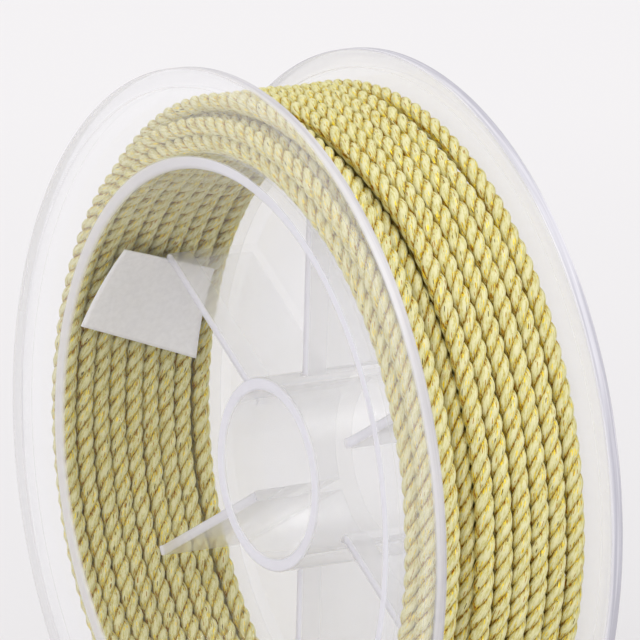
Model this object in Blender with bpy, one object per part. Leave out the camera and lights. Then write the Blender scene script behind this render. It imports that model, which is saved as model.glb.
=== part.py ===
"""A three-strand cord wound on a clear plastic spool, standing on its two rims.

The spool's axis runs along Y, with the open end of its barrel at -Y and the closed end at +Y. The origin
is on the surface that the spool stands on, under its middle. Lengths are metres. Distances across the spool
are taken from the outer face of the open end's rim, so each is easy to check with a calliper.
"""

import math

import bmesh
import bpy
import numpy as np

# Spool: two walls with raised rims, a barrel between them, and a bored hub held by ribs
FLANGE_RADIUS = 0.0380
SPOOL_WIDTH = 0.0196
RIM_THICKNESS = 0.0012
RIM_INNER_RADIUS = 0.0362
RIM_ROUNDING = 0.00015
WALL = 0.0010
BARREL_RADIUS = 0.0300
BARREL_WALL = 0.0013
HUB_RADIUS = 0.0090
HUB_WALL = 0.0012
HUB_START = 0.0055
RIB_START = 0.0093
RIB_THICKNESS = 0.0010
RIB_COUNT = 6
FIRST_RIB = math.radians(27.2)
STANDING_FLAT = 0.0100

# Cord: three strands laid into one, wound in three layers. A layer is the radius of its turns' middles
CORD_DIAMETER = 0.0018
SECOND_LAYER = 0.0324
OUTER_LAYER = 0.0340
DEEP_TURN = 0.0065
FIRST_TURN = 0.0039
NEXT_TURNS = 0.0076
TURN_PITCH = 0.00189
NEXT_TURN_COUNT = 6
EDGE_RADIUS = 0.0331
TURN_ARC = math.radians(66)

# Where the turns step sideways round the spool: angles from +X towards +Z
STEP_ACROSS = 0.0008
DEEP_STEP_SHARE = 0.6
STEP_BEGINS = math.radians(42)
STEP_ENDS = math.radians(78)
STEP_BACK_BEGINS = math.radians(225)
STEP_BACK_ENDS = math.radians(315)

# Blank paper label, stuck inside the barrel against one rib
LABEL_THICKNESS = 0.0003
LABEL_CORNERS = {
    "near_high": (math.radians(143.3), 0.0038),
    "far_high": (math.radians(151.6), 0.0148),
    "far_low": (math.radians(171.2), 0.0146),
    "near_low": (math.radians(161.1), 0.0014),
}
LABEL_STEPS_ROUND = 10
LABEL_STEPS_ACROSS = 8

GAP = 0.0003
STEPS_ROUND = 96
HUB_STEPS = 64
ROUNDING_STEPS = 2
POINTS_PER_TURN = 4
SHARP_EDGE = math.radians(40)

# Worked out from the sizes above
BORE_RADIUS = HUB_RADIUS - HUB_WALL
BARREL_INSIDE = BARREL_RADIUS - BARREL_WALL
RIM_STEP = (RIM_THICKNESS - WALL) / 2
NEAR_WALL_INSIDE = RIM_STEP + WALL
FAR_WALL_INSIDE = SPOOL_WIDTH - RIM_STEP - WALL
HALF_WIDTH = SPOOL_WIDTH / 2
CORD_RADIUS = CORD_DIAMETER / 2
FLAT_DEPTH = FLANGE_RADIUS - math.sqrt(FLANGE_RADIUS**2 - (STANDING_FLAT / 2) ** 2)
AXIS_HEIGHT = FLANGE_RADIUS - FLAT_DEPTH


def clear_scene():
    """Remove every object that the file starts with."""
    for thing in list(bpy.data.objects):
        bpy.data.objects.remove(thing, do_unlink=True)


def material(name, colour, roughness, alpha=1.0, transmission=0.0):
    """A Principled material with one colour."""
    made = bpy.data.materials.new(name)
    made.use_nodes = True
    shader = made.node_tree.nodes["Principled BSDF"]
    shader.inputs["Base Color"].default_value = (*colour, 1.0)
    shader.inputs["Roughness"].default_value = roughness
    shader.inputs["Metallic"].default_value = 0.0
    shader.inputs["Alpha"].default_value = alpha
    shader.inputs["Transmission Weight"].default_value = transmission
    made.diffuse_color = (*colour, alpha)
    return made


def across(distance):
    """The Y place of a distance from the outer face of the open end's rim."""
    return distance - HALF_WIDTH


def add_object(name, mesh, finish, axis):
    """An object for a mesh, shaded smooth but for its sharp edges, parented to the spool's axis."""
    mesh.shade_smooth()
    mesh.set_sharp_from_angle(angle=SHARP_EDGE)
    mesh.materials.append(finish)
    made = bpy.data.objects.new(name, mesh)
    bpy.context.scene.collection.objects.link(made)
    made.parent = axis
    return made


def turned(name, profile, steps, finish, axis):
    """A ring turned about the axis from a closed profile of (radius, distance across) points.

    The points run anticlockwise with the radius to the right and the distance across upwards.
    """
    mesh = bpy.data.meshes.new(name)
    points = [(radius, across(distance), 0.0) for radius, distance in profile]
    edges = [(i, (i + 1) % len(points)) for i in range(len(points))]
    mesh.from_pydata(points, edges, [])
    made = add_object(name, mesh, finish, axis)
    screw = made.modifiers.new("Turn", "SCREW")
    screw.axis = "Y"
    screw.angle = math.tau
    screw.steps = steps
    screw.render_steps = steps
    screw.use_smooth_shade = True
    screw.use_normal_calculate = False
    screw.use_normal_flip = True
    return made


def rim_edge(start):
    """Points round a raised rim, from its step on the wall's nearer face to its step on the farther face."""
    end = start + RIM_THICKNESS
    middle = FLANGE_RADIUS - RIM_ROUNDING
    quarter = [0.5 * math.pi * i / ROUNDING_STEPS for i in range(ROUNDING_STEPS + 1)]
    near_corner = [
        (middle + RIM_ROUNDING * math.sin(a), start + RIM_ROUNDING * (1 - math.cos(a))) for a in quarter
    ]
    far_corner = [(radius, start + end - distance) for radius, distance in near_corner[::-1]]
    return [
        (RIM_INNER_RADIUS, start + RIM_STEP),
        (RIM_INNER_RADIUS + RIM_STEP, start),
        *near_corner,
        *far_corner,
        (RIM_INNER_RADIUS + RIM_STEP, end),
        (RIM_INNER_RADIUS, end - RIM_STEP),
    ]


def wall_profile(opening, start):
    """A wall's section: the edge of its round opening, then its rim, from a distance across."""
    near = start + RIM_STEP
    return [(opening, near), *rim_edge(start), (opening, near + WALL)]


def tube_profile(outside, inside, start, end):
    """A plain tube's section."""
    return [(inside, start), (outside, start), (outside, end), (inside, end)]


def ground_cutter():
    """A box under the standing surface that takes the small flats off the rims."""
    depth = 0.2 * FLANGE_RADIUS
    bm = bmesh.new()
    bmesh.ops.create_cube(bm, size=1.0)
    bmesh.ops.scale(bm, vec=(FLANGE_RADIUS, FLANGE_RADIUS, depth), verts=bm.verts)
    bmesh.ops.translate(bm, vec=(0.0, 0.0, -depth / 2), verts=bm.verts)
    mesh = bpy.data.meshes.new("standing_surface")
    bm.to_mesh(mesh)
    bm.free()
    cutter = bpy.data.objects.new("standing_surface", mesh)
    bpy.context.scene.collection.objects.link(cutter)
    cutter.hide_render = True
    cutter.display_type = "WIRE"
    return cutter


def flatten_foot(flange, cutter):
    """Cut the flat that a rim stands on."""
    cut = flange.modifiers.new("Standing flat", "BOOLEAN")
    cut.operation = "DIFFERENCE"
    cut.solver = "EXACT"
    cut.object = cutter


def rib(number, finish, axis):
    """A flat rib from the hub to the barrel, its near edge set back inside."""
    inner = HUB_RADIUS + GAP
    outer = BARREL_INSIDE - GAP
    start = across(RIB_START)
    end = across(FAR_WALL_INSIDE - GAP)
    bm = bmesh.new()
    bmesh.ops.create_cube(bm, size=1.0)
    bmesh.ops.scale(bm, vec=(outer - inner, end - start, RIB_THICKNESS), verts=bm.verts)
    bmesh.ops.translate(bm, vec=((inner + outer) / 2, (start + end) / 2, 0.0), verts=bm.verts)
    mesh = bpy.data.meshes.new(f"rib_{number + 1}")
    bm.to_mesh(mesh)
    bm.free()
    made = add_object(f"rib_{number + 1}", mesh, finish, axis)
    made.rotation_euler = (0.0, -(FIRST_RIB + math.tau * number / RIB_COUNT), 0.0)
    return made


def ease(value, start, end):
    """0 before start, 1 after end, and a smooth rise between them."""
    share = np.clip((value - start) / (end - start), 0.0, 1.0)
    return share * share * (3.0 - 2.0 * share)


def sideways_step(angle):
    """How far the turns have moved towards the open end at an angle round the spool."""
    there = ease(angle, STEP_BEGINS, STEP_ENDS)
    back = ease(angle, STEP_BACK_BEGINS, STEP_BACK_ENDS)
    return STEP_ACROSS * (there - back)


def winding_section(angle):
    """The winding's closed section at an angle, as (radius, distance across) points.

    Each turn is an arc of the cord's radius, and the points between two arcs are the grooves.
    """
    step = float(sideways_step(angle))
    last = NEXT_TURNS + TURN_PITCH * (NEXT_TURN_COUNT - 1)
    outer = [FIRST_TURN]
    outer += [NEXT_TURNS + TURN_PITCH * i - step for i in range(NEXT_TURN_COUNT - 1)]
    outer += [last]
    turns = [(place, OUTER_LAYER) for place in outer]
    turns.insert(1, (DEEP_TURN - DEEP_STEP_SHARE * step, SECOND_LAYER))
    spread = np.linspace(-TURN_ARC, TURN_ARC, POINTS_PER_TURN)
    near = NEAR_WALL_INSIDE + GAP
    far = FAR_WALL_INSIDE - GAP
    ridge = [
        (radius + CORD_RADIUS * math.cos(a), centre + CORD_RADIUS * math.sin(a))
        for centre, radius in turns
        for a in spread
    ]
    inside = BARREL_RADIUS + GAP
    return [(inside, near), (EDGE_RADIUS, near), *ridge, (EDGE_RADIUS, far), (inside, far)]


def winding(finish, axis):
    """The wound cord as one solid: its section swept round the axis while the turns step sideways."""
    angles = np.arange(STEPS_ROUND) * math.tau / STEPS_ROUND
    sections = np.array([winding_section(a) for a in angles])
    radius, distance = sections[..., 0], sections[..., 1]
    points = np.stack(
        [radius * np.cos(angles)[:, None], across(distance), radius * np.sin(angles)[:, None]], axis=-1
    )
    count = sections.shape[1]
    index = np.arange(STEPS_ROUND * count).reshape(STEPS_ROUND, count)
    after = np.roll(index, -1, axis=0)
    faces = np.stack(
        [index, np.roll(index, -1, axis=1), np.roll(after, -1, axis=1), after], axis=-1
    ).reshape(-1, 4)
    mesh = bpy.data.meshes.new("cord_winding")
    mesh.from_pydata(points.reshape(-1, 3).tolist(), [], faces.tolist())
    return add_object("cord_winding", mesh, finish, axis)


def label_surface(high_share, far_share):
    """A point of the label as (angle, distance across), from its shares of the way down and across."""
    corner = {key: np.array(value) for key, value in LABEL_CORNERS.items()}
    high = corner["near_high"] * (1 - far_share) + corner["far_high"] * far_share
    low = corner["near_low"] * (1 - far_share) + corner["far_low"] * far_share
    angle, distance = high * (1 - high_share) + low * high_share
    rib_angle = FIRST_RIB + math.tau * 2 / RIB_COUNT
    beside_rib = rib_angle + (RIB_THICKNESS / 2 + GAP) / (BARREL_INSIDE - GAP - LABEL_THICKNESS)
    if distance > RIB_START - 2 * GAP:
        angle = max(angle, beside_rib)
    return angle, distance


def label(finish, axis):
    """The label as a thin curved sheet just inside the barrel."""
    radius = BARREL_INSIDE - GAP
    bm = bmesh.new()
    rows = []
    for i in range(LABEL_STEPS_ROUND + 1):
        row = []
        for j in range(LABEL_STEPS_ACROSS + 1):
            angle, distance = label_surface(i / LABEL_STEPS_ROUND, j / LABEL_STEPS_ACROSS)
            place = (radius * math.cos(angle), across(distance), radius * math.sin(angle))
            row.append(bm.verts.new(place))
        rows.append(row)
    for upper, lower in zip(rows, rows[1:]):
        for j in range(LABEL_STEPS_ACROSS):
            bm.faces.new((upper[j], lower[j], lower[j + 1], upper[j + 1]))
    mesh = bpy.data.meshes.new("label")
    bm.to_mesh(mesh)
    bm.free()
    made = add_object("label", mesh, finish, axis)
    thicken = made.modifiers.new("Paper", "SOLIDIFY")
    thicken.thickness = LABEL_THICKNESS
    thicken.offset = 1.0
    thicken.use_even_offset = True
    return made


def build():
    """Make every piece of the spool and its cord."""
    clear_scene()
    clear_plastic = material("clear polystyrene", (0.86, 0.87, 0.88), 0.08, 0.4, 1.0)
    yarn = material("cream yarn with gold thread", (0.80, 0.74, 0.42), 0.75)
    paper = material("blank paper", (0.58, 0.57, 0.57), 0.9)

    axis = bpy.data.objects.new("spool_axis", None)
    axis.location = (0.0, 0.0, AXIS_HEIGHT)
    bpy.context.scene.collection.objects.link(axis)

    inside_walls = (NEAR_WALL_INSIDE + GAP, FAR_WALL_INSIDE - GAP)
    barrel = tube_profile(BARREL_RADIUS, BARREL_INSIDE, *inside_walls)
    hub = tube_profile(HUB_RADIUS, BORE_RADIUS, HUB_START, FAR_WALL_INSIDE - GAP)
    mouth = wall_profile(BARREL_INSIDE, 0.0)
    closed_end = wall_profile(BORE_RADIUS, SPOOL_WIDTH - RIM_THICKNESS)
    open_wall = turned("flange_open", mouth, STEPS_ROUND, clear_plastic, axis)
    closed_wall = turned("flange_closed", closed_end, STEPS_ROUND, clear_plastic, axis)
    turned("barrel", barrel, STEPS_ROUND, clear_plastic, axis)
    turned("hub", hub, HUB_STEPS, clear_plastic, axis)
    cutter = ground_cutter()
    flatten_foot(open_wall, cutter)
    flatten_foot(closed_wall, cutter)
    for number in range(RIB_COUNT):
        rib(number, clear_plastic, axis)
    winding(yarn, axis)
    label(paper, axis)


build()
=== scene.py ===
"""Looks of a twisted cord wound on a clear plastic spool.

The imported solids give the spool's place and main sizes. Its walls are redrawn as one clear moulding, the
wound cord as its strands, and the label as a sheet of paper. Lengths are in metres, apart from the label's
corners and those whose name ends in _mm.
"""

import logging
import math
from dataclasses import dataclass
from enum import Enum
from functools import partial
from typing import Any

import bpy
import numpy as np
from bpy.types import ColorRamp, Material, Node, NodeSocket, NodeTree, Object
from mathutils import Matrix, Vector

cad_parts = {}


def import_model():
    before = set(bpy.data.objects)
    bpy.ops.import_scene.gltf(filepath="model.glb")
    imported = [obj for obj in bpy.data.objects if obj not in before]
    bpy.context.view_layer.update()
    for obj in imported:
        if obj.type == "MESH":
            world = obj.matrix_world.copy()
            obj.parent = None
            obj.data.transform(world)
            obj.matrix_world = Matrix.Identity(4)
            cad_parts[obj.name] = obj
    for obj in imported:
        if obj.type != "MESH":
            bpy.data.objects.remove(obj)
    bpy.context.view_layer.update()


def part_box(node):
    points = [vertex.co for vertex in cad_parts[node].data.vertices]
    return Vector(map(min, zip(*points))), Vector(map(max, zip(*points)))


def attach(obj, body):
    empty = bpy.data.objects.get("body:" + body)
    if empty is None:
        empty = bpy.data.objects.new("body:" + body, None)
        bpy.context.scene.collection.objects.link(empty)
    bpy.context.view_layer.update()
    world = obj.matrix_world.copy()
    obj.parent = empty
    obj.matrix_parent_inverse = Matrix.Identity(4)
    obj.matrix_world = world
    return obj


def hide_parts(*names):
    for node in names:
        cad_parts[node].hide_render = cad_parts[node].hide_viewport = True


MM = 0.001
TAU = math.tau
Array = np.ndarray
Pair = tuple[float, float]
Key = str | int
Inputs = dict[Key, Any]
Stop = tuple[float, str]
Turns = tuple[tuple[int, float], ...]
log = logging.getLogger("spool")


class Slot(Enum):
    """The record's material slots."""

    PLASTIC = "clear_plastic"
    CORD = "cord"
    PAPER = "label_paper"


def linear(hex_colour: str) -> tuple[float, float, float, float]:
    """Turn an sRGB hex colour to linear light, by that standard's own curve.

    Args:
        hex_colour: Six hex digits, with or without a leading hash.

    Returns:
        Red, green, blue and an alpha of 1.
    """
    digits = hex_colour.lstrip("#")
    shares = [int(digits[i : i + 2], 16) / 255 for i in (0, 2, 4)]
    red, green, blue = (s / 12.92 if s <= 0.04045 else ((s + 0.055) / 1.055) ** 2.4 for s in shares)
    return red, green, blue, 1.0


def set_inputs(tree: NodeTree, node: Node, inputs: Inputs) -> None:
    """Link or set some of a node's inputs.

    Args:
        tree: The node tree that holds the node.
        node: The node.
        inputs: Socket name or number to a value, or to the output socket that feeds it.
    """
    for key, value in inputs.items():
        if isinstance(value, NodeSocket):
            tree.links.new(value, node.inputs[key])
        else:
            node.inputs[key].default_value = value


def add_node(
    tree: NodeTree, kind: str, inputs: Inputs | None = None, out: Key | None = None, **settings: Any
) -> Any:
    """Add a shader node with its settings, values and links.

    Args:
        tree: The node tree that gets the node.
        kind: What follows ShaderNode in the name of the node's type.
        inputs: Socket name or number to a value, or to the output socket that feeds it.
        out: The wanted output socket's name or number.
        **settings: The node's own properties.

    Returns:
        That output socket, or the new node where out is left out.
    """
    node = tree.nodes.new("ShaderNode" + kind)
    for name, value in settings.items():
        setattr(node, name, value)
    set_inputs(tree, node, inputs or {})
    return node if out is None else node.outputs[out]


def set_stops(ramp: ColorRamp, *stops: Stop) -> None:
    """Give a new colour ramp its stops.

    Args:
        ramp: The ramp, which comes with two stops.
        *stops: Pairs of a place on the ramp and an sRGB hex colour, from the lowest place to the highest.
    """
    for number, (place, colour) in enumerate((stops[0], stops[-1])):
        ramp.elements[number].position = place
        ramp.elements[number].color = linear(colour)
    for place, colour in stops[1:-1]:
        ramp.elements.new(place).color = linear(colour)


def ease(value: Array, start: float, end: float) -> Array:
    """A smooth step: 0 before start, 1 after end, and 3t^2 - 2t^3 between them."""
    t = np.clip((np.asarray(value, float) - start) / (end - start), 0.0, 1.0)
    return t * t * (3.0 - 2.0 * t)


def unit(vectors: Array) -> Array:
    """Vectors along the last axis, scaled to a length of 1."""
    return vectors / np.linalg.norm(vectors, axis=-1, keepdims=True)


def per_turn(groups: Turns) -> Array:
    """One length for each turn, in metres, from pairs of a count of turns and a length in millimetres."""
    counts, lengths = zip(*groups)
    return np.repeat(np.array(lengths) * MM, counts)


def add_object(name: str, data: bpy.types.ID) -> Object:
    """Put a new object in the scene.

    Args:
        name: The object's name.
        data: Its mesh, camera or light.

    Returns:
        The object.
    """
    made = bpy.data.objects.new(name, data)
    bpy.context.scene.collection.objects.link(made)
    return made


def mesh_from_grid(
    name: str, points: Array, wrap_rows: bool, uv: Array | None = None, cap_ends: bool = False
) -> Object:
    """A mesh object from one or more grids of points that close round their last axis.

    Quad (i, j) joins rows i and i + 1 and columns j and j + 1.

    Args:
        name: The object's name.
        points: Positions, shaped (grids, rows, columns, 3).
        wrap_rows: Whether the last row joins the first.
        uv: Texture places of the corners, shaped (grids, rows, columns + 1, 2). Rows that wrap have none.
        cap_ends: Whether the first and last rows are closed by flat faces.

    Returns:
        The new object, linked to the scene.
    """
    grids, rows, columns = points.shape[:3]
    index = np.arange(grids * rows * columns).reshape(grids, rows, columns)
    here, after = (index, np.roll(index, -1, 1)) if wrap_rows else (index[:, :-1], index[:, 1:])
    quads = np.stack([here, after, np.roll(after, -1, 2), np.roll(here, -1, 2)], -1).reshape(-1, 4)
    corners = [quads.ravel()]
    sizes = [np.full(len(quads), 4)]
    if cap_ends:
        corners += [index[:, 0].ravel(), index[:, -1, ::-1].ravel()]
        sizes += [np.full(2 * grids, columns)]
    loop_total = np.concatenate(sizes)
    loops = np.concatenate(corners)
    mesh = bpy.data.meshes.new(name)
    mesh.vertices.add(points.size // 3)
    mesh.vertices.foreach_set("co", points.astype(np.float32).ravel())
    mesh.loops.add(len(loops))
    mesh.loops.foreach_set("vertex_index", loops.astype(np.int32))
    mesh.polygons.add(len(loop_total))
    mesh.polygons.foreach_set("loop_start", (np.cumsum(loop_total) - loop_total).astype(np.int32))
    mesh.update(calc_edges=True)
    if uv is not None:
        a, b = uv[:, :-1], uv[:, 1:]
        square = np.stack([a[:, :, :-1], b[:, :, :-1], b[:, :, 1:], a[:, :, 1:]], -2)
        places = np.zeros((len(loops), 2), np.float32)
        places[: 4 * len(quads)] = square.reshape(-1, 2)
        mesh.uv_layers.new(name="UVMap").uv.foreach_set("vector", places.ravel())
    mesh.shade_smooth()
    return add_object(name, mesh)


def point_attribute(made: Object, name: str, values: Array) -> None:
    """Store one number for each point of a mesh, in the points' order, for its material to read."""
    stored = made.data.attributes.new(name, "FLOAT", "POINT")
    stored.data.foreach_set("value", values.astype(np.float32).ravel())


def principled(name: str) -> tuple[Material, Any, NodeTree]:
    """A new material with its Principled shader.

    Args:
        name: The material's name.

    Returns:
        The material, its shader node and its node tree.
    """
    made = bpy.data.materials.new(name)
    made.use_nodes = True
    return made, made.node_tree.nodes["Principled BSDF"], made.node_tree


@dataclass(frozen=True)
class ClearPolystyrene:
    """Clear moulded polystyrene: see-through face on, milky at a slant and where it is seen edge on.

    The spread gives the least and most roughness on the walls as shares of it. The streaks' noise goes from
    no streak to a full one.
    """

    milk: str = "#FCFCFF"
    edge: str = "#E6E5ED"
    streak: str = "#B7B6C2"
    ior: float = 1.59
    clear_share: float = 0.25
    least_cover: float = 0.055
    most_cover: float = 0.90
    slant_power: float = 2.8
    thick_cover: float = 0.95
    mirror_ior: float = 3.3
    mirror_start: float = 0.4
    inner_mirror: float = 0.62
    roughness: float = 0.07
    roughness_spread: Pair = (0.6, 1.6)
    edge_roughness: float = 0.42
    ripple_mm: float = 9.0
    ripple_height_mm: float = 0.01
    streak_run_mm: float = 14.0
    streak_mm: float = 0.35
    streak_noise: Pair = (0.30, 0.66)

    def material(self) -> Material:
        """Polystyrene gives the eye pale walls that turn milky at a slant, and rims with fine grey streaks.

        The alpha rises with the slant of the view times the milky attribute, and with the thick attribute,
        so that rims and wall ends read as solid. Met from inside the plastic, an edge mirrors the clear
        wall, so its cover falls with the Fresnel share. Light piped along the walls leaves streaks round
        the rims, which are painted as grey shade: a noise read round the spool and along the section, times
        the streaky attribute.

        Returns:
            The material.
        """
        made, shader, tree = principled("clear_polystyrene_moulded")
        add = partial(add_node, tree)
        place = add("TexCoord", out="Object")
        thick, milky, streaky, along = (
            add("Attribute", out="Fac", attribute_name=name)
            for name in ("thick", "milky", "streaky", "along_section")
        )
        flow = add("TexNoise", {"Vector": place, "Scale": 1 / (self.ripple_mm * MM), "Detail": 2.0}, "Fac")
        low, high = (share * self.roughness for share in self.roughness_spread)
        haze = add("MapRange", {"Value": flow, "To Min": low, "To Max": high}, "Result")
        gloss = add("MapRange", {"Value": thick, "To Min": haze, "To Max": self.edge_roughness}, "Result")
        ripple = add("Bump", {"Height": flow, "Distance": self.ripple_height_mm * MM}, "Normal")
        slant = add("LayerWeight", out="Facing")
        curve = add("Math", {0: slant, 1: self.slant_power}, 0, operation="POWER")
        covers = {"Value": curve, "To Min": self.least_cover, "To Max": self.most_cover}
        thin = add("MapRange", covers, "Result")
        veil = add("Math", {0: thin, 1: milky}, 0, operation="MULTIPLY")
        # The steep index counts nearly every view from inside the plastic as totally reflected
        mirror = add("Fresnel", {"IOR": self.mirror_ior}, "Fac")
        solid = add("MapRange", {
            "Value": mirror,
            "From Min": self.mirror_start,
            "To Min": self.thick_cover,
            "To Max": self.thick_cover * (1 - self.inner_mirror),
        }, "Result")
        cover = add("MapRange", {"Value": thick, "To Min": veil, "To Max": solid}, "Result")
        parts = add("SeparateXYZ", {"Vector": place}).outputs
        around = add("CombineXYZ", {"X": parts["X"], "Y": along, "Z": parts["Z"]}, "Vector")
        run = 1 / (self.streak_run_mm * MM)
        stretch = run, 1 / self.streak_mm, run
        piped = add("VectorMath", {0: around, 1: stretch}, "Vector", operation="MULTIPLY")
        lines = add("TexNoise", {"Vector": piped, "Scale": 1.0, "Detail": 2.0}, "Fac")
        low, high = self.streak_noise
        shades = {"Value": lines, "From Min": low, "From Max": high, "To Max": streaky}
        dark = add("MapRange", shades, "Result")
        body = add("Mix", {0: thick, 6: linear(self.milk), 7: linear(self.edge)}, 2, data_type="RGBA")
        tone = add("Mix", {0: dark, 6: body, 7: linear(self.streak)}, 2, data_type="RGBA")
        set_inputs(tree, shader, {
            "Base Color": tone,
            "Roughness": gloss,
            "IOR": self.ior,
            "Alpha": cover,
            "Normal": ripple,
            "Transmission Weight": self.clear_share,
        })
        return made


@dataclass(frozen=True)
class LameYarn:
    """Pale viscose yarn spun with a flat gold metallic thread, which shows as glints and small dark flecks.

    A colour has its place on a ramp before it. A point's crown is 0 inside the cord and 1 on its outside,
    and the filaments' noise lifts it up or down. Low on the ramp the colour is painted shade, darker and
    browner down in the grooves and where turns touch. A fleck fills its cell out to its reach, and the share
    of cells that have one goes from one number to the other over the range of crown. Its middle and dark
    fleck colours are painted dimmer and dark reflections of the metal thread.
    """

    bright: Stop = (1.0, "#EBE6B6")
    crown: Stop = (0.70, "#D8D391")
    flank: Stop = (0.44, "#D2C066")
    painted_groove_shade: Stop = (0.14, "#9A5C00")
    gold: Stop = (0.0, "#FFE436")
    # Painted reflections: the next two stops are the metal thread's dimmer glint and its dark flecks
    painted_dim_reflection: Stop = (0.60, "#B98A1C")
    shade: Stop = (0.92, "#57480F")
    filament_mm: float = 0.19
    filament_run_mm: float = 1.0
    filament_height_mm: float = 0.16
    filament_lean: float = math.radians(34)
    filament_noise: Pair = (0.3, 0.7)
    filament_lift: Pair = (-0.67, 0.53)
    fleck_mm: float = 0.08
    fleck_run_mm: float = 0.70
    fleck_reach: float = 0.46
    fleck_crown: Pair = (0.4, 1.0)
    fleck_share: Pair = (0.72, 0.11)
    fleck_metallic: float = 0.8
    fleck_roughness: float = 0.3
    roughness: float = 0.60
    sheen: float = 0.06
    sheen_roughness: float = 0.4
    specular: float = 0.08

    def material(self) -> Material:
        """Spun yarn gives the eye matt grains, fine lines across them, golden grooves and bright glints.

        The UV map holds millimetres: u along a strand and v round it. Strands are twisted the other way
        than the cord, so their filaments lean to lie along it. Filaments and metallic thread are drawn
        coarser than the real 0.02 mm and 0.1 mm, so that they show. The golden brown of the grooves is
        painted shade.

        Returns:
            The material.
        """
        made, shader, tree = principled("lame_yarn_laid")
        add = partial(add_node, tree)
        uv = add("UVMap", out="UV", uv_map="UVMap")
        crown = add("Attribute", out="Fac", attribute_name="crown")
        lean = 0.0, 0.0, self.filament_lean
        turned = add("Mapping", {"Vector": uv, "Rotation": lean}, "Vector")
        sizes = (self.filament_run_mm, self.filament_mm), (self.fleck_run_mm, self.fleck_mm)
        drawn, strips = (
            add("Mapping", {"Vector": turned, "Scale": (1 / run, 1 / width, 1.0)}, "Vector")
            for run, width in sizes
        )
        filament = add("TexNoise", {"Vector": drawn, "Scale": 1.0, "Detail": 4.0, "Roughness": 0.72}, "Fac")
        # The yarn's colour goes from painted shade down in its grooves to its crown, broken up by the
        # filaments
        (low, high), (sunk, raised) = self.filament_noise, self.filament_lift
        lift = add("MapRange", {
            "Value": filament, "From Min": low, "From Max": high, "To Min": sunk, "To Max": raised,
        }, "Result")
        height = add("Math", {0: crown, 1: lift}, 0, operation="ADD")
        yarn = add("ValToRGB", {"Fac": height})
        set_stops(yarn.color_ramp, self.painted_groove_shade, self.flank, self.crown, self.bright)
        # Flecks are long cells along the thread. Fewer of them lie on the crown than in the grooves
        cells = add("TexVoronoi", {"Vector": strips, "Scale": 1.0}).outputs
        chance = add("SeparateColor", {"Color": cells["Color"]}).outputs
        (low, high), (many, few) = self.fleck_crown, self.fleck_share
        share = add("MapRange", {
            "Value": crown, "From Min": low, "From Max": high, "To Min": many, "To Max": few,
        }, "Result")
        chosen, inside = (
            add("Math", {0: value, 1: limit}, 0, operation="LESS_THAN")
            for value, limit in ((chance["Red"], share), (cells["Distance"], self.fleck_reach))
        )
        fleck = add("Math", {0: chosen, 1: inside}, 0, operation="MULTIPLY")
        # Gold is the metal thread's own colour; the middle and dark stops are painted dimmer and dark
        # reflections of it
        metal = add("ValToRGB", {"Fac": chance["Green"]})
        metal.color_ramp.interpolation = "CONSTANT"
        set_stops(metal.color_ramp, self.gold, self.painted_dim_reflection, self.shade)
        blend = {0: fleck, 6: yarn.outputs["Color"], 7: metal.outputs["Color"]}
        colour = add("Mix", blend, 2, data_type="RGBA")
        shiny = add("Math", {0: fleck, 1: self.fleck_metallic}, 0, operation="MULTIPLY")
        matt = {"Value": fleck, "To Min": self.roughness, "To Max": self.fleck_roughness}
        rough = add("MapRange", matt, "Result")
        bump = add("Bump", {"Height": filament, "Distance": self.filament_height_mm * MM}, "Normal")
        set_inputs(tree, shader, {
            "Base Color": colour,
            "Metallic": shiny,
            "Roughness": rough,
            "Normal": bump,
            "Sheen Weight": self.sheen,
            "Sheen Roughness": self.sheen_roughness,
            "Sheen Tint": linear(self.flank[1]),
            "Specular IOR Level": self.specular,
        })
        return made


@dataclass(frozen=True)
class BlankPaper:
    """Uncoated white paper in the barrel's shade, a little uneven."""

    face: Stop = (0.65, "#EFEEF0")
    fibre: Stop = (0.35, "#E9E8EA")
    fibre_mm: float = 0.5
    grain_mm: float = 0.02
    roughness: float = 0.85
    light_through: float = 0.6
    light_depth_mm: float = 0.3

    def material(self) -> Material:
        """Paper gives the eye a matt grey-white with faint clouds of fibre, and lets some light through.

        Returns:
            The material.
        """
        made, shader, tree = principled("uncoated_paper")
        add = partial(add_node, tree)
        place = add("TexCoord", out="Object")
        cloud = add("TexNoise", {"Vector": place, "Scale": 1 / (self.fibre_mm * MM), "Detail": 4.0}, "Fac")
        tone = add("ValToRGB", {"Fac": cloud})
        set_stops(tone.color_ramp, self.fibre, self.face)
        grain = add("Bump", {"Height": cloud, "Distance": self.grain_mm * MM, "Strength": 0.5}, "Normal")
        set_inputs(tree, shader, {
            "Base Color": tone.outputs["Color"],
            "Roughness": self.roughness,
            "Normal": grain,
            "Subsurface Weight": self.light_through,
            "Subsurface Radius": (1.0, 1.0, 1.0),
            "Subsurface Scale": self.light_depth_mm * MM,
        })
        return made


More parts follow.
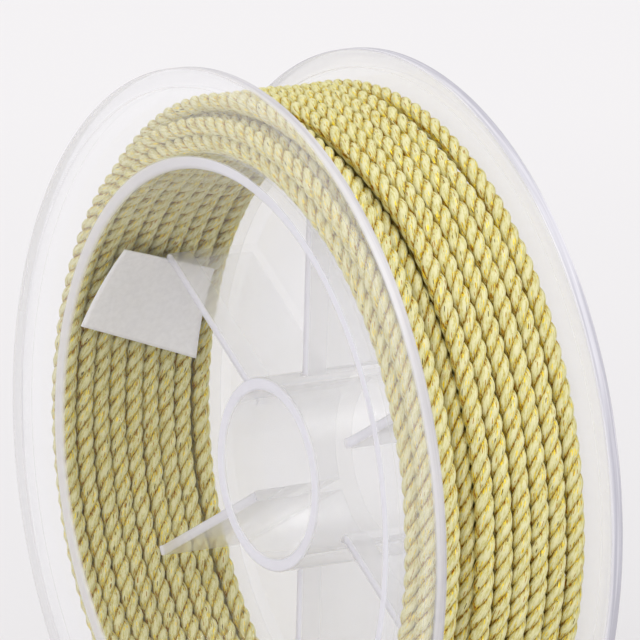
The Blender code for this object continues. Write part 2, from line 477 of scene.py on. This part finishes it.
@dataclass
class SpoolFrame:
    """The sizes of the spool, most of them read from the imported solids.

    Distances across run from the outer face of the open end's rim.
    """

    axis_height: float
    open_end: float
    width: float
    rim_radius: float
    rim_thickness: float
    barrel_radius: float
    hub_radius: float
    hub_start: float
    rib_start: float
    rim_inner: float = 36.2 * MM
    wall: float = 1.0 * MM
    barrel_wall: float = 1.3 * MM
    hub_wall: float = 1.2 * MM
    rib_thickness: float = 1.0 * MM
    rib_count: int = 6
    first_rib: float = math.radians(27.2)

    @classmethod
    def read(cls) -> "SpoolFrame":
        """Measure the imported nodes.

        Returns:
            The spool's sizes and places.
        """
        low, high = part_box("flange_open")
        _, far_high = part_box("flange_closed")
        barrel_low, barrel_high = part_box("barrel")
        hub_low, hub_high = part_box("hub")
        rib_low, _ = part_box("rib_1")
        return cls(
            axis_height=(barrel_low.z + barrel_high.z) / 2,
            open_end=low.y,
            width=far_high.y - low.y,
            rim_radius=(high.x - low.x) / 2,
            rim_thickness=high.y - low.y,
            barrel_radius=(barrel_high.x - barrel_low.x) / 2,
            hub_radius=(hub_high.x - hub_low.x) / 2,
            hub_start=hub_low.y - low.y,
            rib_start=rib_low.y - low.y,
        )

    @property
    def step(self) -> float:
        """How far a rim stands proud of each face of its wall."""
        return (self.rim_thickness - self.wall) / 2

    @property
    def near_inside(self) -> float:
        """The inner face of the open end's wall, as a distance across."""
        return self.step + self.wall

    @property
    def far_inside(self) -> float:
        """The inner face of the closed end's wall, as a distance across."""
        return self.width - self.step - self.wall

    @property
    def bore(self) -> float:
        """The hub's bore radius."""
        return self.hub_radius - self.hub_wall

    @property
    def barrel_inside(self) -> float:
        """The barrel's inner radius."""
        return self.barrel_radius - self.barrel_wall

    def place(self, radius: Array, angle: Array, across: Array) -> Array:
        """World points: radius times (cos angle, sin angle) from the axis in X and Z, and across in Y."""
        radius, angle, across = np.broadcast_arrays(radius, angle, across)
        return np.stack(
            [radius * np.cos(angle), self.open_end + across, self.axis_height + radius * np.sin(angle)], -1
        )


@dataclass
class SpoolMoulding:
    """The clear spool as one closed skin: two rimmed walls, the barrel, and the hub on its ribs.

    Haze, side and veil are shares of solid plastic or of full milkiness. The streaks' weights are for the
    open end and the closed end, and their start and end are insets from the rim's two radii.
    """

    frame: SpoolFrame
    fillet: float = 0.35 * MM
    edge: float = 0.22 * MM
    mouth_rounding: float = 0.42 * MM
    rim_rounding: float = 0.16 * MM
    rim_shoulder: float = 0.12 * MM
    rib_chamfer: float = 0.12 * MM
    guard: float = 0.04 * MM
    arc_steps: int = 6
    pocket_columns: int = 41
    draft: float = 0.06 * MM
    sharp_angle: float = math.radians(50)
    hub_haze: float = 0.22
    rim_step_haze: tuple[float, float, float] = (0.0, 0.35, 0.12)
    rib_side: float = 0.45
    barrel_veil: float = 0.45
    veil_edge: float = 0.05 * MM
    streak_start: float = 0.6 * MM
    streak_end: float = 0.1 * MM
    streak_weights: Pair = (0.25, 0.95)
    far_corner_shade: float = 0.8

    def corner(self, at: Pair, before: Pair, after: Pair, radius: float, spare: int = 0) -> Array:
        """Points of an arc that rounds a right-angled corner, with a guard point on the flat at each end.

        With unit vectors a and b from the corner back and on, a point is the corner plus radius times
        (a + b - b cos t - a sin t), for t up to a quarter turn. The guards keep the shading's bend off the
        flats.

        Args:
            at: The corner, as radius and distance across.
            before: The point that the outline comes from.
            after: The point that it goes to.
            radius: The arc's radius.
            spare: How many points it gets beyond the usual count.

        Returns:
            The points, shaped (arc_steps + spare + 2, 2).
        """
        here = np.array(at)
        back, on = unit(np.array(before) - here), unit(np.array(after) - here)
        t = np.linspace(0.0, TAU / 4, self.arc_steps + spare)[:, None]
        arc = here + radius * (back + on) - radius * (on * np.cos(t) + back * np.sin(t))
        return np.concatenate([arc[:1] + self.guard * back, arc, arc[-1:] + self.guard * on])

    def rim(self, start: float) -> tuple[Array, Array]:
        """A rim's outline from the step on the wall's near face, over the edge, to the far face's step.

        Args:
            start: The rim's nearer face, as a distance across.

        Returns:
            The points, and a thickness for each. The edge looks thick, as it is seen down the wall's length.
        """
        f = self.frame
        end = start + f.rim_thickness
        top = f.rim_inner + f.step / 2
        near = np.array([
            [f.rim_inner, start + f.step],
            [top, start],
            [top + self.rim_shoulder, start],
        ])
        far = near[::-1] * [1.0, -1.0] + [0.0, start + end]
        near_edge, far_edge = (f.rim_radius, start), (f.rim_radius, end)
        turns = [
            self.corner(near_edge, tuple(near[-1]), far_edge, self.rim_rounding),
            self.corner(far_edge, near_edge, tuple(far[0]), self.rim_rounding),
        ]
        step = np.array(self.rim_step_haze)
        rising = np.linspace(step[-1], 1.0, self.arc_steps + 2)
        return np.concatenate([near, *turns, far]), np.concatenate([step, rising, rising[::-1], step[::-1]])

    def outline(self, floor: float, on_top: bool) -> tuple[Array, Array]:
        """The closed outline of the section at one column, and how thick the plastic looks along it.

        Between hub and barrel it dips to floor: the closed wall in a pocket, and the rib's edge on a rib.
        Outlines have points that correspond: a pocket's walls have one level with the ribs, where a rib's
        corners have a spare one.

        Args:
            floor: The distance across of what lies between hub and barrel.
            on_top: Whether the column runs along a rib's edge.

        Returns:
            The points as (radius, distance across), shaped (points, 2), and for each a thickness up to 1.
        """
        f = self.frame
        bore_near, hub_near = (f.bore, f.hub_start), (f.hub_radius, f.hub_start)
        hub_floor, barrel_floor = (f.hub_radius, floor), (f.barrel_inside, floor)
        mouth, step_near = (f.barrel_inside, f.step), (f.rim_inner, f.step)
        near_root, far_root = (f.barrel_radius, f.near_inside), (f.barrel_radius, f.far_inside)
        near_wall, far_wall = (f.rim_inner, f.near_inside), (f.rim_inner, f.far_inside)
        bore_far, step_far = (f.bore, f.width - f.step), (f.rim_inner, f.width - f.step)
        spare = int(floor < f.far_inside)
        hub_turn = self.corner(hub_floor, hub_near, barrel_floor, self.fillet, spare)
        barrel_turn = self.corner(barrel_floor, hub_floor, mouth, self.fillet, spare)
        rib_top = f.rib_start - 2 * self.fillet
        hub_level = np.array([[f.hub_radius, rib_top]])[spare:]
        barrel_level = np.array([[f.barrel_inside, rib_top]])[spare:]
        band = np.array([[f.barrel_radius - self.edge, f.step], [f.barrel_radius, f.step]])
        rising = np.clip(np.linspace(0.0, 2.0, self.arc_steps + 2), 0.0, 1.0)
        hub_rising = np.maximum(rising, self.hub_haze)
        flat = np.zeros(self.arc_steps + 2)
        level = 1.0 if on_top else self.rib_side * spare
        along_hub, along_barrel = np.full(len(hub_turn), level), np.full(len(barrel_turn), level)
        along_hub[:2] = self.hub_haze
        along_barrel[-2:] = 0.0
        parts = [
            (self.corner(bore_near, bore_far, hub_near, self.edge), hub_rising),
            (self.corner(hub_near, bore_near, hub_floor, self.edge), hub_rising[::-1]),
            (hub_level, np.full(len(hub_level), self.hub_haze)),
            (hub_turn, along_hub),
            (barrel_turn, along_barrel),
            (barrel_level, np.zeros(len(barrel_level))),
            (self.corner(mouth, barrel_floor, step_near, self.mouth_rounding), rising),
            (band, np.array([1.0, 0.0])),
            self.rim(0.0),
            (self.corner(near_root, near_wall, far_root, self.fillet), flat),
            (self.corner(far_root, near_root, far_wall, self.fillet), flat),
            self.rim(f.width - f.rim_thickness),
            (self.corner(bore_far, step_far, bore_near, self.edge), flat),
        ]
        return np.concatenate([p for p, _ in parts]), np.concatenate([t for _, t in parts])

    def columns(self) -> tuple[Array, Array, Array]:
        """The columns round the spool: where each stands, and what it meets between hub and barrel.

        Six columns go over a rib, from root to root. A pocket's columns turn evenly from one rib to the
        next, while their offsets go evenly from the one rib's side to the other's.

        Returns:
            Each column's angle, its sideways offset from the line at that angle, and its floor.
        """
        f = self.frame
        half = f.rib_thickness / 2
        root = half + self.draft
        offsets = np.array([root, half, half - self.rib_chamfer])
        floors = np.array([f.far_inside, f.rib_start + self.rib_chamfer, f.rib_start])
        pocket = np.arange(1, self.pocket_columns)
        ribs = f.first_rib + TAU * np.arange(f.rib_count)[:, None] / f.rib_count
        on_rib = np.zeros(2 * len(offsets))
        turned = np.concatenate([on_rib, TAU / f.rib_count * pocket / self.pocket_columns])
        aside = np.concatenate([-offsets, offsets[::-1], root * (1 - 2 * pocket / self.pocket_columns)])
        under = np.concatenate([floors, floors[::-1], np.full(len(pocket), f.far_inside)])
        return (ribs + turned).ravel(), np.tile(aside, f.rib_count), np.tile(under, f.rib_count)

    def build(self) -> Object:
        """Sweep the outlines round the axis, and flatten the rims where they stand.

        A column's angle is its line's angle plus the arcsine of its offset over the radius, so a rib keeps
        its thickness from hub to barrel.

        Returns:
            The spool.
        """
        f = self.frame
        lines, offsets, floors = self.columns()
        kinds = list(zip(floors.tolist(), (floors == f.rib_start).tolist()))
        outlines = {kind: self.outline(*kind) for kind in set(kinds)}
        section = np.stack([outlines[kind][0] for kind in kinds], 1)
        thick = np.stack([outlines[kind][1] for kind in kinds], 1)
        radius, across = section[..., 0], section[..., 1]
        angle = lines + np.arcsin(offsets / radius)
        points = f.place(radius, angle, across)
        points[..., 2] = np.maximum(points[..., 2], 0.0)
        made = mesh_from_grid("spool_moulding", points[None], wrap_rows=True)
        made.data.set_sharp_from_angle(angle=self.sharp_angle)
        point_attribute(made, "thick", thick)
        point_attribute(made, "milky", self.milky(radius))
        point_attribute(made, "streaky", self.streaky(radius, across))
        point_attribute(made, "along_section", (radius + across) / MM)
        return made

    def milky(self, radius: Array) -> Array:
        """How much of the milky veil each point has: all, or about half on the barrel, which cord backs.

        Args:
            radius: The points' distances from the axis.

        Returns:
            Shares from 0 to 1.
        """
        f = self.frame
        inside = ease(radius, f.barrel_inside - self.veil_edge, f.barrel_inside)
        outside = 1.0 - ease(radius, f.barrel_radius, f.barrel_radius + self.fillet)
        return 1.0 - (1.0 - self.barrel_veil) * inside * outside

    def streaky(self, radius: Array, across: Array) -> Array:
        """How dark the streaks are at each point: nothing inside the rims, most at a rim's farther corner.

        Args:
            radius: The points' distances from the axis.
            across: Their distances across.

        Returns:
            Weights of painted shade from 0 to 1.75, the closed end's being the higher.
        """
        f = self.frame
        at_open_end = across < f.width / 2
        start = np.where(at_open_end, 0.0, f.width - f.rim_thickness)
        far_share = np.clip((across - start) / f.rim_thickness, 0.0, 1.0)
        on_rim = ease(radius, f.rim_inner + self.streak_start, f.rim_radius - self.streak_end)
        # Painted shade: grey streaks darken the rims, most towards each rim's farther corner
        return on_rim * (np.where(at_open_end, *self.streak_weights) + self.far_corner_shade * far_share**2)


@dataclass(frozen=True)
class CordLay:
    """How the cord is laid: three strands twisted to the right.

    The strands' place, depth and width are shares of the cord's radius.
    """

    diameter: float = 1.86 * MM
    lay: float = 5.10 * MM
    strands: int = 3
    strand_place: float = 0.52
    strand_depth: float = 0.48
    strand_width: float = 0.52
    unevenness: float = 0.05
    unevenness_mm: Pair = (1.1, 4.2)
    unevenness_waves: int = 6


@dataclass
class CordPath:
    """The whole cord's middle: layers of turns, wound without a break from the barrel outwards.

    Turn k runs round the spool from its foot to its foot, at its own radius and place across. Round the
    foot it steps over to the next turn's place, or climbs from a layer's last turn to the next one's first.
    Step, tuck and tail are in turns. The degrees, from +X towards +Z, say where a turn's wander and bulge
    come and go. Sway is the turns' unevenness, and its waves are counted a turn.
    """

    frame: SpoolFrame
    lay: CordLay
    radii: Array
    places: Array
    wander: Array
    bulge: Array
    layer: Array
    step_over: float = 1 / 3
    tuck: float = 0.06
    tuck_under: Pair = (2.27 * MM, -0.32 * MM)
    dive: float = 1.5 * MM
    tail: float = 0.14
    wander_degrees: tuple[Pair, Pair] = ((42.0, 78.0), (212.0, 268.0))
    bulge_degrees: tuple[Pair, Pair] = ((20.0, 62.0), (112.0, 165.0))
    sway: float = 0.05 * MM
    sway_waves: tuple[float, ...] = (2.3, 5.1, 9.7, 17.3)
    # Painted shade: the share of crown that is left where the next turn touches
    touching_shade: float = 0.12
    touching_shade_height: float = 0.42
    end_reach: float = 0.6
    pieces_a_turn: int = 720
    sway_seed: int = 7
    strand_seed: int = 107

    @property
    def finish(self) -> float:
        """Where the cord ends, in turns: a little short of the foot."""
        return len(self.places) - self.tail

    def turn_number(self, turns: Array) -> Array:
        """Which turn each place along the winding belongs to."""
        return np.clip(np.floor(turns).astype(int), 0, len(self.places) - 1)

    def centreline(self, turns: Array) -> tuple[Array, Array]:
        """The middle of the cord.

        Its distance across is the first turn's place, plus each change of place times a smooth step centred
        under the spool, less the turn's wander between two angles. Its radius steps the same way, with a
        low bulge and a little sway, a sum of slow sines. The first end comes out from under the turn that
        climbs to the outer layer, and the last end dives between the turns beneath.

        Args:
            turns: How many turns have been made, counted from the foot.

        Returns:
            Radii and distances across.
        """
        across = np.full_like(turns, self.places[0])
        radius = np.full_like(turns, self.radii[0])
        for j in range(1, len(self.places)):
            rise = ease(turns, j - self.step_over / 2, j + self.step_over / 2)
            across += (self.places[j] - self.places[j - 1]) * rise
            radius += (self.radii[j] - self.radii[j - 1]) * rise
        number = self.turn_number(turns)
        angle = (turns - np.floor(turns)) * 360 - 90
        stepped, bulging = (
            ease(angle, *comes) - ease(angle, *goes)
            for comes, goes in (self.wander_degrees, self.bulge_degrees)
        )
        across -= self.wander[number] * stepped
        radius += self.bulge[number] * bulging
        tucked = 1 - ease(turns, 0.0, self.tuck)
        radius += self.tuck_under[0] * tucked - self.dive * ease(turns, self.finish - self.tuck, self.finish)
        across += self.tuck_under[1] * tucked
        rng = np.random.default_rng(self.sway_seed)
        for waves in self.sway_waves:
            shift = rng.uniform(0, TAU, 2)
            size = self.sway / math.sqrt(waves)
            across += size * np.sin(TAU * waves * turns + shift[0])
            radius += size * np.sin(TAU * waves * turns + shift[1])
        return radius, across

    def middle(self, turns: Array) -> Array:
        """The cord's middle as world points."""
        radius, across = self.centreline(turns)
        return self.frame.place(radius, turns * TAU - TAU / 4, across)

    def length(self, turns: Array) -> Array:
        """The length of cord wound up to each place, summed over short straight pieces.

        Args:
            turns: The places along the winding.

        Returns:
            Lengths from the cord's first end.
        """
        fine = np.linspace(0.0, self.finish, self.pieces_a_turn * len(self.places))
        steps = np.linalg.norm(np.diff(self.middle(fine), axis=0), axis=1)
        return np.interp(turns, fine, np.concatenate([[0.0], np.cumsum(steps)]))

    def touch_shade(self, offset: Array, turns: Array) -> Array:
        """How open each point lies to the light: less along the sides where the next turn touches.

        The factor is painted shade: it lowers the crown, and so darkens the yarn's colour. The side towards
        a layer's end counts as open on the turns within reach of it, in cord diameters.

        Args:
            offset: From the cord's middle to each point, in cord radii, in world axes.
            turns: Where along the winding each ring of points stands.

        Returns:
            Factors from the least, where turns touch, up to 1.
        """
        number = self.turn_number(turns)
        same = self.layer[:, None] == self.layer[None]
        nearest = np.where(same, self.places, np.inf).min(1)[number][None, :, None]
        farthest = np.where(same, self.places, -np.inf).max(1)[number][None, :, None]
        across = self.centreline(turns)[1][None, :, None]
        reach = self.end_reach * self.lay.diameter
        near_end = (across < nearest + reach) & (offset[..., 1] < 0)
        far_end = (across > farthest - reach) & (offset[..., 1] > 0)
        spoke_height = np.sqrt(np.maximum((offset**2).sum(-1) - offset[..., 1] ** 2, 0.0))
        side = 1.0 - ease(spoke_height, 0.0, self.touching_shade_height)
        return 1.0 - (1.0 - self.touching_shade) * np.where(near_end | far_end, 0.0, side)

    def plumpness(self, length: Array) -> Array:
        """How full each strand is along the cord: 1, plus a mean of sines of a few mm and random phase.

        Args:
            length: Lengths along the cord.

        Returns:
            Factors shaped (strands, lengths).
        """
        lay = self.lay
        rng = np.random.default_rng(self.strand_seed)
        shape = lay.strands, lay.unevenness_waves, 1
        waves = TAU / (rng.uniform(*lay.unevenness_mm, shape) * MM)
        phases = rng.uniform(0, TAU, shape)
        evened = np.sin(waves * length + phases).mean(1) * math.sqrt(lay.unevenness_waves)
        return 1.0 + lay.unevenness * evened


@dataclass
class CordRun:
    """A run of the cord's turns, drawn as its strands, finer where more of it shows.

    The crown rises from 0 at its start to 1 over its span, both in cord radii from the cord's middle.
    """

    name: str
    path: CordPath
    first: float
    last: float
    steps_per_lay: int
    sides: int
    crown_start: float = 0.45
    crown_span: float = 0.55
    texture_shift_mm: float = 40.0

    def strands(self, turns: Array) -> tuple[Array, Array, Array]:
        """The strands' surfaces.

        Strand k's middle goes round the cord's middle at the angle 2 pi s / lay + 2 pi k / 3, where s is the
        length along the cord. Its section is an ellipse across its own direction: one axis points away from
        the cord's middle, and the other is square to that and to the strand.

        Args:
            turns: Where along the winding each ring of points stands.

        Returns:
            Points shaped (strands, rings, sides, 3), texture places in millimetres, and how near each point
            is to the cord's outside, from 0 to 1, lowered as painted shade where turns touch.
        """
        lay = self.path.lay
        radius = lay.diameter / 2
        middle, length = self.path.middle(turns), self.path.length(turns)
        angle = turns * TAU - TAU / 4
        spoke = np.stack([np.cos(angle), np.zeros_like(angle), np.sin(angle)], -1)
        along = unit(np.gradient(middle, axis=0))
        side = unit(np.cross(along, spoke))
        out = np.cross(side, along)
        phase = TAU * length / lay.lay + TAU * np.arange(lay.strands)[:, None] / lay.strands
        cosine, sine = np.cos(phase)[..., None], np.sin(phase)[..., None]
        away, round_cord = cosine * out + sine * side, cosine * side - sine * out
        reach = radius * lay.strand_place
        slope = TAU * reach / lay.lay
        wide = np.cross(unit(along + slope * round_cord), away)
        # The section's seam faces the cord's middle, where it is hidden
        section = math.pi - TAU * np.arange(self.sides + 1) / self.sides
        high, broad = radius * lay.strand_depth, radius * lay.strand_width
        upward, sideways = np.cos(section[:-1])[:, None], np.sin(section[:-1])[:, None]
        plump = self.path.plumpness(length)[..., None, None]
        points = (
            middle[None, :, None]
            + reach * away[:, :, None]
            + plump * high * upward * away[:, :, None]
            + plump * broad * sideways * wide[:, :, None]
        )
        offset = (points - middle[None, :, None]) / radius
        crown = np.clip((np.linalg.norm(offset, axis=-1) - self.crown_start) / self.crown_span, 0.0, 1.0)
        # Painted shade where turns touch: the crown, and with it the yarn's colour, is lowered
        crown *= self.path.touch_shade(offset, turns)
        strand_length = length * math.sqrt(1 + slope**2)
        shift = self.texture_shift_mm * np.arange(lay.strands)[:, None, None]
        u = strand_length[None, :, None] / MM + shift
        v = section * (high + broad) / 2 / MM
        return points, np.stack(np.broadcast_arrays(u, v), -1), crown

    def build(self) -> Object:
        """Make the run's strands as one piece.

        Returns:
            The piece.
        """
        ends = self.path.length(np.array([self.first, self.last])) / self.path.lay.lay * self.steps_per_lay
        turns = np.linspace(self.first, self.last, int(ends[1] - ends[0]) + 1)
        points, uv, crown = self.strands(turns)
        made = mesh_from_grid(self.name, points, wrap_rows=False, uv=uv, cap_ends=True)
        point_attribute(made, "crown", crown)
        return made


@dataclass
class Winding:
    """The wound cord: three layers of turns, the outer one with a gap before its last turn.

    Radii, wander and bulge are pairs of a count of turns and a length, in winding order. The middle layer's
    third turn stands higher than its neighbours, in the outer layer's gap.
    """

    frame: SpoolFrame
    lay: CordLay = CordLay()
    layers: tuple[int, int, int] = (9, 8, 7)
    radii_mm: Turns = ((9, 30.93), (2, 32.45), (1, 32.88), (5, 32.45), (7, 34.00))
    wander_mm: Turns = ((9, 0.25), (7, 0.48), (1, 0.05), (1, 0.0), (5, 0.8), (1, -0.3))
    bulge_mm: Turns = ((16, 0.0), (8, 0.4))
    first_place_mm: float = 16.85
    inner_from_mm: float = 14.79
    inner_pitch_mm: float = 1.797
    middle_from_mm: float = 2.70
    middle_pitch_mm: float = 1.907
    beside_gap_mm: Pair = (4.45, 6.32)
    outer_to_mm: float = 7.57
    outer_pitch_mm: float = 1.89
    last_place_mm: float = 3.90

    def path(self) -> CordPath:
        """The cord's way, from nine turns on the barrel over eight in the middle to seven outside.

        The inner layer goes from the closed end to the open end, the middle one back, and the outer one to
        the open end again.

        Returns:
            The path.
        """
        on_barrel, above, outside = self.layers
        inner = [self.inner_from_mm - self.inner_pitch_mm * k for k in range(on_barrel - 1)]
        middle = [self.middle_from_mm + self.middle_pitch_mm * k for k in range(above)]
        middle[1:3] = self.beside_gap_mm
        outer = [self.outer_to_mm + self.outer_pitch_mm * k for k in reversed(range(outside - 1))]
        places = [self.first_place_mm, *inner, *middle, *outer, self.last_place_mm]
        return CordPath(
            frame=self.frame,
            lay=self.lay,
            radii=per_turn(self.radii_mm),
            places=np.array(places) * MM,
            wander=per_turn(self.wander_mm),
            bulge=per_turn(self.bulge_mm),
            layer=np.repeat(np.arange(len(self.layers)), self.layers),
        )

    def runs(self) -> list[CordRun]:
        """The cord in four runs, from the barrel outwards."""
        path = self.path()
        return [
            CordRun("cord_inner_layer", path, first=0, last=9, steps_per_lay=13, sides=7),
            CordRun("cord_middle_layer", path, first=9, last=17, steps_per_lay=12, sides=6),
            CordRun("cord_outer_turns_far", path, first=17, last=21, steps_per_lay=18, sides=10),
            CordRun("cord_outer_turns_near", path, first=21, last=path.finish, steps_per_lay=18, sides=10),
        ]


@dataclass
class Label:
    """The blank label stuck inside the barrel, its upper edge against the third rib.

    Each corner is an angle in degrees and a distance across in millimetres.
    """

    frame: SpoolFrame
    near_high: Pair = (143.3, 3.8)
    far_high: Pair = (151.6, 14.8)
    far_low: Pair = (171.2, 14.6)
    near_low: Pair = (161.1, 1.4)
    thickness: float = 0.12 * MM
    clearance: float = 0.03 * MM
    rib_reach: float = 0.2 * MM
    rib_number: int = 2
    steps: int = 24

    def surface(self) -> Array:
        """The face that sticks to the barrel.

        A point is the bilinear blend of the four corners, and is kept off the rib that it lies against.

        Returns:
            Points shaped (rows, columns, 3).
        """
        f = self.frame
        down = np.linspace(0, 1, self.steps + 1)[:, None, None]
        along = np.linspace(0, 1, self.steps + 1)[None, :, None]
        high = np.array(self.near_high) * (1 - along) + np.array(self.far_high) * along
        low = np.array(self.near_low) * (1 - along) + np.array(self.far_low) * along
        both = high * (1 - down) + low * down
        angle, across = np.radians(both[..., 0]), both[..., 1] * MM
        rib = f.first_rib + TAU * self.rib_number / f.rib_count
        clear = rib + (f.rib_thickness / 2 + self.thickness) / f.barrel_inside
        beside = across > f.rib_start - self.rib_reach
        angle = np.where(beside, np.maximum(angle, clear), angle)
        return f.place(f.barrel_inside - self.clearance, angle, across)

    def build(self) -> Object:
        """Make the label as a thin closed sheet.

        Its rows are a loop: the face that shows, then the face on the barrel, back to the start.

        Returns:
            The label.
        """
        outer = self.surface()
        centre = np.array([0.0, 0.0, self.frame.axis_height])
        inward = unit((centre - outer) * np.array([1.0, 0.0, 1.0]))
        inner = outer + self.thickness * inward
        loop = np.concatenate([inner, outer[:, ::-1]], axis=1)
        return mesh_from_grid("label", loop[None], wrap_rows=False, cap_ends=True)


@dataclass(frozen=True)
class Sun:
    """A distant soft light: the direction it stands in, its strength and how wide it looks."""

    name: str
    stands: tuple[float, float, float]
    strength: float
    width: float


@dataclass
class Stage:
    """The pale floor, the soft studio light and the camera of the photograph's view."""

    frame: SpoolFrame
    azimuth: float = math.radians(58.7319)
    elevation: float = math.radians(12.5381)
    focal_pixels: float = 8136.27
    picture_pixels: int = 640
    rim_centre_pixel: Pair = (220.652, 481.452)
    rim_centre_depth_in_rims: float = 19.5513
    sensor_mm: float = 36.0
    clip_start: float = 0.02
    clip_end: float = 20.0
    dome_colour: str = "#FDFBFC"
    dome_strength: float = 0.69
    suns: tuple[Sun, ...] = (
        Sun("key_from_behind_right", (0.36, 0.36, 0.95), 1.12, math.radians(40)),
        Sun("fill_from_the_front", (0.55, -0.75, 0.55), 0.92, math.radians(50)),
    )
    floor_colour: str = "#E7E6E7"
    # Painted shade: the floor's darker colour at the spool, which gives way to the pale one at the falloff
    # distance
    near_floor_shade: str = "#DDDCDD"
    falloff: float = 0.365
    floor_half_side: float = 6.0
    floor_roughness: float = 0.9

    def camera(self) -> None:
        """Stand the camera so that the open rim's centre falls on its pixel, at its depth along the view."""
        f = self.frame
        a, e = self.azimuth, self.elevation
        right = np.array([math.cos(a), math.sin(a), 0.0])
        back = np.array([math.sin(a) * math.cos(e), -math.cos(a) * math.cos(e), math.sin(e)])
        up = np.cross(back, right)
        depth = self.rim_centre_depth_in_rims * f.rim_radius
        offset = (np.array(self.rim_centre_pixel) - self.picture_pixels / 2) * depth / self.focal_pixels
        rim_centre = np.array([0.0, f.open_end + f.rim_thickness / 2, f.axis_height])
        data = bpy.data.cameras.new("camera")
        data.sensor_width = self.sensor_mm
        data.lens = self.focal_pixels * self.sensor_mm / self.picture_pixels
        data.clip_start, data.clip_end = self.clip_start, self.clip_end
        made = add_object("camera", data)
        made.location = rim_centre - right * offset[0] + up * offset[1] + back * depth
        made.rotation_euler = (math.pi / 2 - e, 0.0, a)
        bpy.context.scene.camera = made

    def floor(self) -> None:
        """A wide pale floor, a little darker near the spool."""
        mesh = bpy.data.meshes.new("floor")
        side = self.floor_half_side
        corners = [(x * side, y * side, 0.0) for x, y in ((-1, -1), (1, -1), (1, 1), (-1, 1))]
        mesh.from_pydata(corners, [], [(0, 1, 2, 3)])
        made = add_object("floor", mesh)
        finish, shader, tree = principled("pale_floor")
        add = partial(add_node, tree)
        place = add("TexCoord", out="Object")
        # Painted shade: the floor darkens towards the spool
        away = add("VectorMath", {0: place}, "Value", operation="LENGTH")
        far = add("MapRange", {"Value": away, "From Max": self.falloff}, "Result")
        shades = {0: far, 6: linear(self.near_floor_shade), 7: linear(self.floor_colour)}
        tone = add("Mix", shades, 2, data_type="RGBA")
        set_inputs(tree, shader, {"Base Color": tone, "Roughness": self.floor_roughness})
        mesh.materials.append(finish)

    def light(self) -> None:
        """A bright even dome and two wide soft suns."""
        world = bpy.data.worlds.new("studio")
        bpy.context.scene.world = world
        world.use_nodes = True
        background = world.node_tree.nodes["Background"]
        background.inputs["Color"].default_value = linear(self.dome_colour)
        background.inputs["Strength"].default_value = self.dome_strength
        for sun in self.suns:
            data = bpy.data.lights.new(sun.name, "SUN")
            data.energy = sun.strength
            data.angle = sun.width
            across, back, up = sun.stands
            tilt = math.atan2(math.hypot(across, back), up)
            turn = math.atan2(-back, -across) - TAU / 4
            add_object(sun.name, data).rotation_euler = (tilt, 0.0, turn)


def dress(made: Object, finish: Material, slot: Slot, *nodes: str) -> None:
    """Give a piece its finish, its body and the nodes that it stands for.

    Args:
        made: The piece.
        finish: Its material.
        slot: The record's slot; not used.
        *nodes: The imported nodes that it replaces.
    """
    made.data.materials.append(finish)
    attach(made, "root")
    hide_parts(*nodes)
    made.data.calc_loop_triangles()
    log.info("%s: %d triangles", made.name, len(made.data.loop_triangles))


def main() -> None:
    """Build the spool, the cord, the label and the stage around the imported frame."""
    logging.basicConfig(level=logging.INFO, format="%(message)s")
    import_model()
    frame = SpoolFrame.read()
    stage = Stage(frame)
    stage.camera()
    stage.floor()
    stage.light()
    walls = ["flange_open", "flange_closed", "barrel", "hub"]
    ribs = [f"rib_{k + 1}" for k in range(frame.rib_count)]
    dress(SpoolMoulding(frame).build(), ClearPolystyrene().material(), Slot.PLASTIC, *walls, *ribs)
    yarn = LameYarn().material()
    for run in Winding(frame).runs():
        dress(run.build(), yarn, Slot.CORD, "cord_winding")
    dress(Label(frame).build(), BlankPaper().material(), Slot.PAPER, "label")
    bpy.context.scene.view_settings.view_transform = "Standard"
    bpy.context.view_layer.update()


if __name__ == "__main__":
    main()
